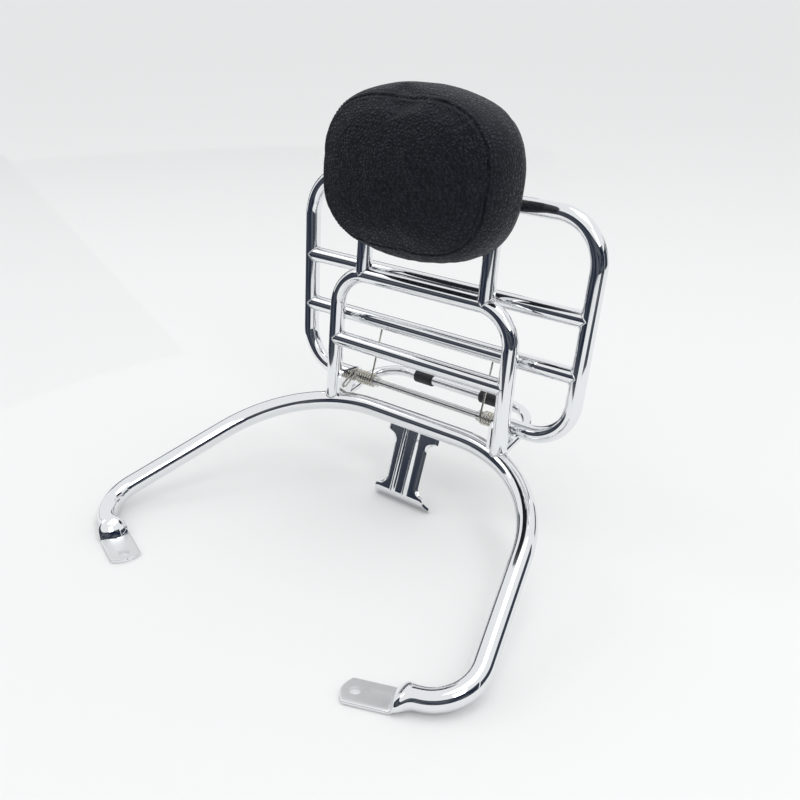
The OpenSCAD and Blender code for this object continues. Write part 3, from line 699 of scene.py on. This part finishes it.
pad_mesh = bpy.data.meshes.new("pad_form")
form = extruded_rings(pad_rings(), 120, pad_place)
form.to_mesh(pad_mesh)
form.free()
print("pad form", len(pad_mesh.polygons), "faces")

# %% [markdown]
# Cloth pressure rounds the form as stuffing does. The copy is remeshed at
# four millimetres, blown for twenty frames without gravity, and held to a few
# millimetres from where it began. The back stays flat, because it is stapled
# round a board.

# %% Blow up the pad
def applied(holder):
    """The holder's mesh with its modifiers applied."""
    depsgraph = bpy.context.evaluated_depsgraph_get()
    return bpy.data.meshes.new_from_object(holder.evaluated_get(depsgraph))


pad_holder = bpy.data.objects.new("pad_cover_leather", pad_mesh)
bpy.context.scene.collection.objects.link(pad_holder)
even = pad_holder.modifiers.new("even", "REMESH")
even.mode = "VOXEL"
even.voxel_size = 0.004
pad_holder.data = applied(pad_holder)
pad_holder.modifiers.clear()
rest_places = [vert.co.copy() for vert in pad_holder.data.vertices]
blown = list(rest_places)
swell = pad_holder.modifiers.new("swell", "CLOTH")
swell.settings.quality = 6
swell.settings.mass = 0.3
swell.settings.use_pressure = True
swell.settings.uniform_pressure_force = 4.0
swell.settings.effector_weights.gravity = 0.0
swell.point_cache.frame_start = 1
swell.point_cache.frame_end = 20
for step in range(1, 21):
    bpy.context.scene.frame_set(step)
settled = applied(pad_holder)
blown = [vert.co.copy() for vert in settled.vertices]
bpy.context.scene.frame_set(1)
pad_holder.modifiers.clear()
CAP = 3.5 * MM
moved = 0.0
for vert, start, end in zip(pad_holder.data.vertices, rest_places, blown):
    shift = end - start
    length = min(shift.length, CAP)
    moved = max(moved, length)
    vert.co = start + (shift.normalized() * length if length > 0 else shift)
print("pad points", len(rest_places), "moved at most", round(moved / MM, 2), "mm")

# %% [markdown]
# The front panel and the side band meet in a seam. It is pressed into the
# finished skin as a narrow valley, with a low welt on each side, and the
# cover puckers near its lower edge, where it is pulled round the posts. The
# skin is kept in front of the board, which closes the back.

# %% Seam and creases
smooth = pad_holder.modifiers.new("smooth", "SUBSURF")
smooth.levels = 2
smooth.render_levels = 2
pad_holder.data = applied(pad_holder)
pad_holder.modifiers.clear()
BACK = on_back(0, 1, 0) - on_back(0, 0, 0)
BOARD_INSET = 22
BOARD_ROOM = 5.0


def into_back(point):
    """A place in the leaning frame, in millimetres."""
    flat = point / MM
    y = flat.y + CENTRE_Y - FOOT_Y
    z = flat.z - FOOT_Z
    return Vector((flat.x, y * math.cos(LEAN) - z * math.sin(LEAN), y * math.sin(LEAN) + z * math.cos(LEAN)))


def line_on_pad(y, inset, count=360):
    """A closed line round the pad, dropped onto its skin."""
    tree = BVHTree.FromObject(pad_holder, bpy.context.evaluated_depsgraph_get())
    points = []
    for step in range(count):
        across, up = outline_place(2 * math.pi * step / count, inset)
        place, normal, _, _ = tree.find_nearest(on_back(across, y, PAD_UP + up))
        points.append((place, normal))
    return points


bpy.context.view_layer.update()
seam_line = line_on_pad(SEAM_Y, SEAM_INSET - 1.0, 720)
near_seam = KDTree(len(seam_line))
for index, (place, normal) in enumerate(seam_line):
    near_seam.insert(place, index)
near_seam.balance()
pad_holder.data.shade_smooth()
normals = [vert.normal.copy() for vert in pad_holder.data.vertices]
for vert, normal in zip(pad_holder.data.vertices, normals):
    place = into_back(vert.co)
    away = near_seam.find(vert.co)[2] / MM
    valley = -1.7 * math.exp(-(away / 1.15) ** 2) + 0.35 * math.exp(-((away - 3.4) / 1.7) ** 2)
    low = max(0.0, min(1.0, (PAD_UP - 52 - place.z) / 30))
    crease = noise.noise(Vector((place.x * 0.11, place.y * 0.05, place.z * 0.035))) * 0.9 * low
    lump = noise.noise(Vector((place.x, place.y * 1.3, place.z)) * 0.028) * 0.5
    side = 1.0 if place.y < 12 else 0.0
    vert.co += normal * (valley + (crease + lump) * side) * MM
    place = into_back(vert.co)
    across = abs(place.x) / (PAD_W - BOARD_INSET)
    up = abs(place.z - PAD_UP) / (PAD_H - BOARD_INSET)
    over_board = across ** ROUNDNESS + up ** ROUNDNESS < 1
    proud = place.y - (PAD_BACK - (BOARD_ROOM if over_board else 0.2))
    if proud > 0:
        vert.co -= BACK.normalized() * proud * MM
pad_holder.data.shade_smooth()
pad_holder.data.materials.append(leather)
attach(pad_holder, "rack")
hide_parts("pad_cover", "pad_foam")
print("pad", len(pad_holder.data.polygons), "faces")

# %% [markdown]
# A row of stitches holds the seam down, about seven millimetres behind it on
# the band. Each stitch is a small rounded capsule that follows the line.

# %% Stitches
def stitch_row(name, line, pitch, length, thickness, body):
    """Stitches along a line of (place, normal) pairs."""
    bm = bmesh.new()
    walked = 0.0
    wanted = 0.0
    for index in range(len(line)):
        place, normal = line[index]
        after = line[(index + 1) % len(line)][0]
        step = (after - place).length / MM
        if walked >= wanted and step > 0:
            along = (after - place).normalized()
            side = normal.cross(along).normalized()
            turn = Matrix((side, along, normal)).transposed().to_4x4()
            size = Matrix.Diagonal((thickness / 2 * MM, length / 2 * MM, thickness / 2 * MM, 1))
            at = Matrix.Translation(place + normal * thickness * 0.12 * MM)
            bmesh.ops.create_uvsphere(bm, u_segments=8, v_segments=6, radius=1.0, matrix=at @ turn @ size)
            wanted += pitch
        walked += step
    return finish_mesh(bm, name, thread, body, sharp=80.0)


bpy.context.view_layer.update()
stitch_line = line_on_pad(SEAM_Y + 7.0, SEAM_INSET - 5.5, 720)
topstitch = stitch_row("pad_topstitch", stitch_line, 4.4, 3.3, 0.9, "rack")
print("stitches", len(topstitch.data.polygons) // 48)

# %% [markdown]
# Each arm ends in a tab: the press flattens the tube, rounds its tip and
# leaves a shallow groove. The skin is extruded ring by ring from round to
# flat, and a cutter then drills the bore. The top of the flat is satin,
# because the press takes the mirror off it.

# %% Pressed tabs
TAB_LONG = 50
TAB_W = 32
TAB_THICK = 4.5
TIP_R = 26
PRESS = 18
BORE_R = 5.5
BORE_INSET = 12.5
tab_root = tube_end + TAB_TURN * PRESS
tab_root.z = 0


def on_tab(x, y, z):
    """A place on the right tab: X runs to the tip and Z up."""
    sideways = Vector((-TAB_TURN.y, TAB_TURN.x, 0))
    return on_floor(*(tab_root + TAB_TURN * x + sideways * y + Vector((0, 0, z))))


def tab_rings():
    """Rings as place, half width and squareness."""
    rings = []
    for step in range(13):
        share = step / 12
        ease = share * share * (3 - 2 * share)
        rings.append((-PRESS + 14 * share, HOOP_R + (TAB_W / 2 - HOOP_R) * ease, 1 - 0.2 * ease))
    for step in range(1, 31):
        rings.append((-PRESS + 14 + 12 * step / 30, TAB_W / 2, 0.8 - 0.4 * step / 30))
    corner = math.asin(TAB_W / 2 / TIP_R)
    straight = TAB_LONG - TIP_R + TIP_R * math.cos(corner)
    start = -PRESS + 26
    for step in range(1, 31):
        rings.append((start + (straight - start) * step / 30, TAB_W / 2, 0.4))
    for step in range(1, 13):
        angle = corner * (1 - step / 12 * 0.93)
        rings.append((TAB_LONG - TIP_R + TIP_R * math.cos(angle), TIP_R * math.sin(angle), 0.4))
    return rings


def nose(x, y):
    """Share of the tube's height that is left where it is pressed down to the flat."""
    foot = 1.0 + 4.0 * (1 - (y / 16) ** 2)
    part = max(0.0, min(1.0, (foot - x) / (foot + PRESS)))
    return (1 - (1 - part) ** 2.4) ** 0.8


def tab_place(angle, ring):
    """A point of a tab ring."""
    x, half_w, power = ring
    across = math.copysign(abs(math.cos(angle)) ** power, math.cos(angle)) * half_w
    rise = math.copysign(abs(math.sin(angle)) ** power, math.sin(angle))
    height = TAB_THICK + (HOOP_TUBE - TAB_THICK) * nose(x, across)
    z = height / 2 + height / 2 * rise
    z -= 0.05 * (TAB_W / 2 - across) * z / height * (1 - nose(x, across))
    if rise > 0 and x > 4:
        groove = max(0.0, 1 - math.hypot(max(9 - x, 0, x - 22), across * 1.15) / 6.5)
        z -= 1.2 * min(1.0, groove * 3.0)
    return on_tab(x, across, z)


def drilled(piece, centre, axis, radius, depth):
    """Cuts a round hole through a piece."""
    bm = bmesh.new()
    turn = Matrix.Translation(centre) @ axis.to_track_quat("Z", "Y").to_matrix().to_4x4()
    bmesh.ops.create_cone(bm, cap_ends=True, segments=64, radius1=radius * MM, radius2=radius * MM,
                          depth=depth * MM, matrix=turn)
    mesh = bpy.data.meshes.new("cutter")
    bm.to_mesh(mesh)
    bm.free()
    cutter = bpy.data.objects.new("cutter", mesh)
    bpy.context.scene.collection.objects.link(cutter)
    cut = piece.modifiers.new("bore", "BOOLEAN")
    cut.object = cutter
    cut.solver = "EXACT"
    piece.data = applied(piece)
    piece.modifiers.clear()
    bpy.data.objects.remove(cutter)
    piece.data.set_sharp_from_angle(angle=math.radians(40))


for side, label in SIDES:
    bm = extruded_rings(tab_rings(), 72, tab_place)
    along = on_tab(1, 0, 0) - on_tab(0, 0, 0)
    for face in bm.faces:
        reach = (face.calc_center_median() - on_tab(0, 0, 0)).dot(along) / along.length_squared
        if reach > 3 and face.normal.z > 0.85:
            face.material_index = 1
    if side < 0:
        bmesh.ops.scale(bm, verts=bm.verts, vec=(-1, 1, 1))
    tab = finish_mesh(bm, label + "_pressed_tab", chrome, "rack", sharp=40.0)
    tab.data.materials.append(satin_chrome)
    bore = on_tab(TAB_LONG - BORE_INSET, 0, TAB_THICK / 2)
    drilled(tab, bore if side > 0 else flipped(bore), Vector((0, 0, 1)), BORE_R, 20)
    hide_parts(label + "_tab")
    print(tab.name, len(tab.data.polygons), "faces")

# %% [markdown]
# The tail bracket is pressed from sheet. A grid is bent to its side view,
# narrowed to its waist, and raised in two ribs. Its edges curl back a little,
# and Solidify gives it the thickness of the sheet. A grid is used because the
# press moves each point of a flat sheet in the same way.

# %% Tail bracket
WEB_TOP = (-3.85, 87.2)
WEB_BEND = (-33, 13)
FOOT_END = (-24, 0)
SHEET = 3.0
LIP = math.dist(WEB_BEND, FOOT_END)
WEB = math.dist(WEB_TOP, WEB_BEND)
FOOT_HALF = 42
WAIST_HALF = 23.5
TOP_HALF = 36.0
LOW_HALF = 34.5
WAIST_LOW = 7
WAIST_HIGH = 9


def smooth_share(value):
    """Eases a share between 0 and 1."""
    share = max(0.0, min(1.0, value))
    return share * share * (3 - 2 * share)


def bracket_path(distance):
    """Place and forward normal along the side view, measured up from the floor."""
    lip_way = Vector((WEB_BEND[0] - FOOT_END[0], WEB_BEND[1])).normalized()
    web_way = Vector((WEB_TOP[0] - WEB_BEND[0], WEB_TOP[1] - WEB_BEND[1])).normalized()
    share = smooth_share((distance - LIP + 4) / 8)
    way = lip_way.lerp(web_way, share).normalized()
    start = Vector(FOOT_END)
    if distance < LIP:
        place = start + lip_way * distance
    else:
        place = Vector(WEB_BEND) + web_way * (distance - LIP)
    near = max(0.0, 1 - abs(distance - LIP) / 4)
    place += Vector((1.1, 0.2)) * near * near
    return place, Vector((-way.y, way.x))


def bracket_half(distance):
    """Half width of the bracket at a distance up from the floor."""
    up = distance - LIP
    if up < 0:
        wide = FOOT_HALF - (FOOT_HALF - LOW_HALF) * (distance / LIP)
        corner = max(0.0, 5 - distance)
        return wide - (5 - math.sqrt(25 - corner * corner))
    if up < WAIST_LOW:
        return LOW_HALF
    if up > WEB - WAIST_HIGH:
        return TOP_HALF
    low_r = LOW_HALF - WAIST_HALF
    top_r = TOP_HALF - WAIST_HALF
    if up < WAIST_LOW + low_r:
        return LOW_HALF - math.sqrt(max(0.0, low_r ** 2 - (WAIST_LOW + low_r - up) ** 2))
    if up > WEB - WAIST_HIGH - top_r:
        return TOP_HALF - math.sqrt(max(0.0, top_r ** 2 - (up - WEB + WAIST_HIGH + top_r) ** 2))
    return WAIST_HALF


def bracket_point(u, distance):
    """A point of the sheet's middle, for u from -1 to 1 across."""
    half = bracket_half(distance)
    x = u * half
    place, out = bracket_path(distance)
    share = abs(abs(x) - 8.5) / 4.5
    rib = 5.0 * math.cos(math.pi / 2 * share) ** 2 if share < 1 else 0.0
    rib *= smooth_share((distance - LIP + 5) / 9)
    edge = max(0.0, (abs(x) - half + 6) / 6)
    curl = -2.4 * edge * edge * smooth_share((distance - LIP - 2) / 8)
    place = place + out * (rib + curl)
    return on_floor(x, place.x, place.y)


bm = bmesh.new()
bmesh.ops.create_grid(bm, x_segments=96, y_segments=120, size=1.0)
for vert in bm.verts:
    reach = (vert.co.y + 1) / 2 * (LIP + WEB + 6)
    vert.co = bracket_point(vert.co.x, reach)
bracket = finish_mesh(bm, "tail_bracket_sheet", chrome, "rack", sharp=50.0)
sheet = bracket.modifiers.new("sheet", "SOLIDIFY")
sheet.thickness = SHEET * MM
sheet.offset = 1.0
bracket.data = applied(bracket)
bracket.modifiers.clear()
bracket.data.set_sharp_from_angle(angle=math.radians(50))
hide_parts("tail_bracket")
print(bracket.name, len(bracket.data.polygons), "faces")

# %% [markdown]
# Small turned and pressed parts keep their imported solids, because their
# shapes are right already. They only need a finish, which is put in each
# solid's own slots. The hidden solids get one too.

# %% Finishes of the carried-over solids
def dress(node, material):
    """Gives a solid of the frame its finish."""
    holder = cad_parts[node]
    if not holder.material_slots:
        holder.data.materials.append(material)
    for place in holder.material_slots:
        place.link = "OBJECT"
        place.material = material


FINISHES = {
    "pivot_rod": zinc, "left_collar": zinc, "right_collar": zinc, "left_hinge_bush": zinc,
    "right_hinge_bush": zinc, "pad_screws": zinc, "pad_board": board_paint, "pad_foam": hidden_foam,
    "pad_cover": leather, "left_buffer": rubber, "right_buffer": rubber, "left_spring": spring_steel,
    "right_spring": spring_steel,
}
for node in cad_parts:
    dress(node, FINISHES.get(node, chrome))
print("dressed", len(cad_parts), "solids")

# %% [markdown]
# The camera stands where the photographer stood. Its place, turn and lens
# come from points that were found on the photograph and on the solids.

# %% Camera
EYE = Vector((567.96, -633.07, 566.38)) * MM
TURN = math.radians(38.45)
RISE = math.radians(25.3)
ROLL = math.radians(0.25)
FOCAL = 40.97
away = Vector((math.sin(TURN) * math.cos(RISE), -math.cos(TURN) * math.cos(RISE), math.sin(RISE)))
right = Vector((math.cos(TURN), math.sin(TURN), 0))
upward = right.cross(-away)
rolled_right = right * math.cos(ROLL) + upward * math.sin(ROLL)
rolled_up = upward * math.cos(ROLL) - right * math.sin(ROLL)
lens = bpy.data.cameras.new("camera")
lens.lens = FOCAL
lens.sensor_width = 36.0
lens.clip_start = 0.01
lens.clip_end = 60.0
camera = bpy.data.objects.new("camera", lens)
facing = Matrix((rolled_right, rolled_up, away)).transposed().to_4x4()
camera.matrix_world = Matrix.Translation(EYE) @ facing
bpy.context.scene.collection.objects.link(camera)
bpy.context.scene.camera = camera
print("camera at", tuple(round(c, 3) for c in EYE))

# %% [markdown]
# The object stands on a plain pale floor that runs far past the view, under
# a near white world, so no edge or horizon shows. Both light it evenly, and
# the floor keeps its soft shadow.

# %% Floor and world
FLOOR_HALF = 60
floor_paint, _, floor_shader = new_material("pale_floor")
floor_shader.inputs["Base Color"].default_value = (0.85, 0.855, 0.85, 1)
floor_shader.inputs["Roughness"].default_value = 0.75
bm = bmesh.new()
bmesh.ops.create_grid(bm, x_segments=1, y_segments=1, size=FLOOR_HALF)
floor_mesh = bpy.data.meshes.new("floor")
bm.to_mesh(floor_mesh)
bm.free()
floor_mesh.materials.append(floor_paint)
floor = bpy.data.objects.new("floor", floor_mesh)
bpy.context.scene.collection.objects.link(floor)

world = bpy.data.worlds.new("studio")
bpy.context.scene.world = world
world.use_nodes = True
sky = world.node_tree.nodes["Background"]
sky.inputs["Color"].default_value = (0.955, 0.965, 0.975, 1)
sky.inputs["Strength"].default_value = 0.95
print("stage", floor.name)

# %% [markdown]
# Chrome shows the room more than itself. The floor and the world give its
# pale bands. A dark wall in front, lower walls at the sides and two sheets
# where the paper ends on the floor give its dark bands. Only mirrors see
# them, and they give next to no light.

# %% Dark room in the reflections
def dark_material(name):
    """A surface with no colour or gloss of its own, which glows a little."""
    material, tree, shader = new_material(name)
    shader.inputs["Base Color"].default_value = (0, 0, 0, 1)
    shader.inputs["Specular IOR Level"].default_value = 0.0
    shader.inputs["Emission Strength"].default_value = 1.0
    return material, tree, shader


def room_material(name):
    """The unlit room: slate and navy patches that change slowly round the wall."""
    material, tree, shader = dark_material(name)
    place = add(tree, "ShaderNodeTexCoord")
    spread = add(tree, "ShaderNodeMapping")
    spread.inputs["Scale"].default_value = (0.9, 0.9, 1.6)
    cloud = add(tree, "ShaderNodeTexNoise")
    cloud.inputs["Scale"].default_value = 1.1
    cloud.inputs["Detail"].default_value = 2.0
    ramp = add(tree, "ShaderNodeValToRGB")
    ramp.color_ramp.elements[0].position = 0.36
    ramp.color_ramp.elements[0].color = (0.008, 0.014, 0.035, 1)
    ramp.color_ramp.elements[1].position = 0.66
    ramp.color_ramp.elements[1].color = (0.11, 0.12, 0.135, 1)
    tree.links.new(place.outputs["Object"], spread.inputs["Vector"])
    tree.links.new(spread.outputs["Vector"], cloud.inputs["Vector"])
    tree.links.new(cloud.outputs["Fac"], ramp.inputs["Fac"])
    tree.links.new(ramp.outputs["Color"], shader.inputs["Emission Color"])
    return material


def room_sheet(name, start, end, near, far, material):
    """A sheet from near to far, as radius and height, spun from start to end degrees from the front."""
    bm = bmesh.new()
    first = math.radians(start)
    verts = []
    for radius, height in (near, far):
        verts.append(bm.verts.new((math.sin(first) * radius, -math.cos(first) * radius, height)))
    edge = bm.edges.new(verts)
    bmesh.ops.spin(bm, geom=verts + [edge], cent=(0, 0, 0), axis=(0, 0, 1), angle=math.radians(end - start),
                   steps=48)
    mesh = bpy.data.meshes.new(name)
    bm.to_mesh(mesh)
    bm.free()
    mesh.materials.append(material)
    holder = bpy.data.objects.new(name, mesh)
    bpy.context.scene.collection.objects.link(holder)
    holder.visible_camera = False
    holder.visible_diffuse = False
    holder.visible_shadow = False
    holder.visible_transmission = False
    return holder


room = room_material("unlit_room")
slate, _, slate_shader = dark_material("slate_wall")
slate_shader.inputs["Emission Color"].default_value = (0.045, 0.055, 0.075, 1)
room_sheet("room_in_front", -75, 96, (2.6, 0.0), (2.6, 1.75), room)
room_sheet("paper_end_left", -112, 14, (0.60, 0.002), (2.6, 0.002), room)
room_sheet("paper_end_right", 66, 100, (0.78, 0.002), (2.6, 0.002), room)
room_sheet("room_line_left", -155, -98, (2.5, 0.02), (2.5, 0.85), slate)
room_sheet("room_line_right", 98, 142, (2.5, 0.02), (2.5, 1.15), slate)
room_sheet("room_line_back", 150, 168, (2.5, 0.25), (2.5, 0.75), slate)
print("room", room.name, slate.name)

# %% [markdown]
# Three large, soft lamps stand above and to both sides. They are low in
# power, because the world gives most of the light, and their shapes are the
# white streaks on the tubes.

# %% Lamps
def softbox(name, centre, toward, width, height, power):
    """A square lamp that faces a point."""
    lamp = bpy.data.lights.new(name, "AREA")
    lamp.shape = "RECTANGLE"
    lamp.size = width
    lamp.size_y = height
    lamp.energy = power
    holder = bpy.data.objects.new(name, lamp)
    face = (Vector(centre) - Vector(toward)).normalized()
    holder.matrix_world = Matrix.Translation(centre) @ face.to_track_quat("Z", "Y").to_matrix().to_4x4()
    bpy.context.scene.collection.objects.link(holder)


middle = (0.0, 0.0, 0.2)
softbox("lamp_above", (0.5, 0.3, 2.4), middle, 1.6, 1.2, 9)
softbox("lamp_right", (1.9, -0.9, 2.1), middle, 0.7, 1.2, 7)
softbox("lamp_left", (-2.0, -0.6, 1.9), middle, 0.6, 1.2, 4)
bpy.context.scene.view_settings.view_transform = "Standard"
print("lamps made")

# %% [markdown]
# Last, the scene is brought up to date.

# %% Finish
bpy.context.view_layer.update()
